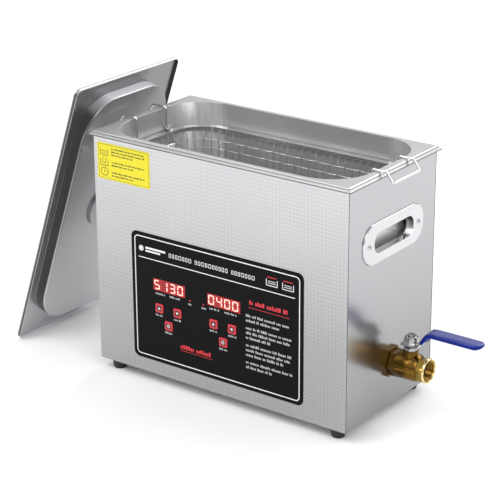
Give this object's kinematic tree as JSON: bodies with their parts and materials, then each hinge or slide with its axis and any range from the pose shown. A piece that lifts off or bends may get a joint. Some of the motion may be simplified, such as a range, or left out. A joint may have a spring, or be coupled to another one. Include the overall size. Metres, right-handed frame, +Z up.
{
  "type": "ultrasonic cleaner",
  "caption": "Heated bench-top ultrasonic cleaner with drawn steel tank, hooked wire basket, leaning lid, control panel and side drain valve.",
  "frame": {"origin": "on the bench, under the middle of the whole object's footprint with its leaning lid; the casing's centre is 10 mm towards +X", "axes": "+X towards the drain valve, +Y to the rear, -Y the control panel, +Z up"},
  "size_m": [0.5637, 0.1785, 0.3169],
  "materials": {
    "stainless_sheet": "fine embossed linen pattern, satin",
    "tank_steel": "drawn stainless, satin bright",
    "polished_steel": "bright polished",
    "wire_steel": "bright drawn wire",
    "black_rubber": "matte",
    "overlay_film": "black printed film, satin",
    "red_key": "satin red",
    "display_lens": "dark with red segments",
    "label_film": "yellow printed film",
    "blue_vinyl": "dipped vinyl",
    "brass": "nickel-worn brass",
    "valve_steel": "zinc plated",
    "ptfe": "white",
    "black_plastic": "moulded, fine grain",
    "board_green": "circuit board",
    "aluminium": "machined",
    "piezo": "silvered ceramic",
    "screw_steel": "plated",
    "heater_silicone": "silicone heater mat"
  },
  "bodies": {
    "cabinet": {"front_panel": "stainless_sheet", "rear_panel": "stainless_sheet", "side_panel_left": "stainless_sheet", "side_panel_right": "stainless_sheet", "base_plate": "stainless_sheet", "rubber_feet": "black_rubber", "foot_screws": "screw_steel", "tank": "tank_steel", "handle_plate_left": "polished_steel", "handle_plate_right": "polished_steel", "handle_screws": "screw_steel", "control_overlay": "overlay_film", "tact_switches": "black_plastic", "led_displays": "display_lens", "control_board": "board_green", "board_spacers": "ptfe", "instruction_label": "label_film", "transducer_horns": "aluminium", "piezo_rings": "piezo", "transducer_back_masses": "screw_steel", "clamp_bolts": "screw_steel", "heater_pads": "heater_silicone", "temperature_sensor": "black_plastic", "generator_board": "board_green", "board_components": "black_plastic", "heatsink": "aluminium", "fan_frame": "black_plastic", "fan_guard": "wire_steel", "rear_screws": "screw_steel", "power_inlet": "black_plastic", "inlet_pins": "brass", "switch_housing": "black_plastic", "drain_pipe": "tank_steel", "drain_fitting": "brass", "drain_locknut": "valve_steel", "valve_body": "brass", "valve_insert": "brass", "seat_rings": "ptfe", "packing_nut": "brass"},
    "lid": {"lid_shell": "tank_steel", "lid_handle": "black_plastic"},
    "basket": {"basket_rim": "tank_steel", "basket_wall_mesh": "wire_steel", "basket_floor_mesh": "wire_steel"},
    "left_hook": {"basket_handle_left": "wire_steel"},
    "right_hook": {"basket_handle_right": "wire_steel"},
    "valve_handle": {"lever": "valve_steel", "lever_nut": "valve_steel", "lever_sleeve": "blue_vinyl", "valve_stem": "brass", "valve_ball": "polished_steel"},
    "fan": {"fan_rotor": "black_plastic"},
    "rocker": {"switch_rocker": "black_plastic"},
    "fuse_tray": {"fuse_drawer": "black_plastic"},
    "key_temperature_up_button": {"key_temperature_up": "red_key"},
    "key_temperature_down_button": {"key_temperature_down": "red_key"},
    "key_heat_button": {"key_heat": "red_key"},
    "key_time_up_button": {"key_time_up": "red_key"},
    "key_time_down_button": {"key_time_down": "red_key"},
    "key_timer_button": {"key_timer": "red_key"}
  },
  "joints": [
    {"name": "lid_tip", "type": "hinge", "parent": "cabinet", "child": "lid", "pos_m": [-0.28197, 0.003, 0.00128], "axis": [0, 1, 0], "range_deg": [-106, 0]},
    {"name": "basket_lift", "type": "slide", "parent": "cabinet", "child": "basket", "axis": [0, 0, 1], "range_m": [0, 0.16]},
    {"name": "left_hook_fold", "type": "hinge", "parent": "basket", "child": "left_hook", "pos_m": [-0.1413, 0, 0.2522], "axis": [0, 1, 0], "range_deg": [0, 90]},
    {"name": "right_hook_fold", "type": "hinge", "parent": "basket", "child": "right_hook", "pos_m": [0.1613, 0, 0.2522], "axis": [0, 1, 0], "range_deg": [-90, 0]},
    {"name": "valve_lever_turn", "type": "hinge", "parent": "cabinet", "child": "valve_handle", "pos_m": [0.1977, 0, 0.0895], "axis": [0, 0, 1], "range_deg": [-90, 0]},
    {"name": "rocker_tilt", "type": "hinge", "parent": "cabinet", "child": "rocker", "pos_m": [-0.085, 0.0837, 0.106], "axis": [1, 0, 0], "range_deg": [-16, 0]},
    {"name": "fuse_drawer_slide", "type": "slide", "parent": "cabinet", "child": "fuse_tray", "axis": [0, 1, 0], "range_m": [0, 0.012]},
    {"name": "fan_spin", "type": "hinge", "parent": "cabinet", "child": "fan", "pos_m": [0.102, 0.0782, 0.078], "axis": [0, 1, 0], "continuous": true},
    {"name": "key_temperature_up_press", "type": "slide", "parent": "cabinet", "child": "key_temperature_up_button", "axis": [0, 1, 0], "range_m": [0, 0.0005], "stiffness_N_per_m": 3000},
    {"name": "key_temperature_down_press", "type": "slide", "parent": "cabinet", "child": "key_temperature_down_button", "axis": [0, 1, 0], "range_m": [0, 0.0005], "stiffness_N_per_m": 3000},
    {"name": "key_heat_press", "type": "slide", "parent": "cabinet", "child": "key_heat_button", "axis": [0, 1, 0], "range_m": [0, 0.0005], "stiffness_N_per_m": 3000},
    {"name": "key_time_up_press", "type": "slide", "parent": "cabinet", "child": "key_time_up_button", "axis": [0, 1, 0], "range_m": [0, 0.0005], "stiffness_N_per_m": 3000},
    {"name": "key_time_down_press", "type": "slide", "parent": "cabinet", "child": "key_time_down_button", "axis": [0, 1, 0], "range_m": [0, 0.0005], "stiffness_N_per_m": 3000},
    {"name": "key_timer_press", "type": "slide", "parent": "cabinet", "child": "key_timer_button", "axis": [0, 1, 0], "range_m": [0, 0.0005], "stiffness_N_per_m": 3000}
  ]
}
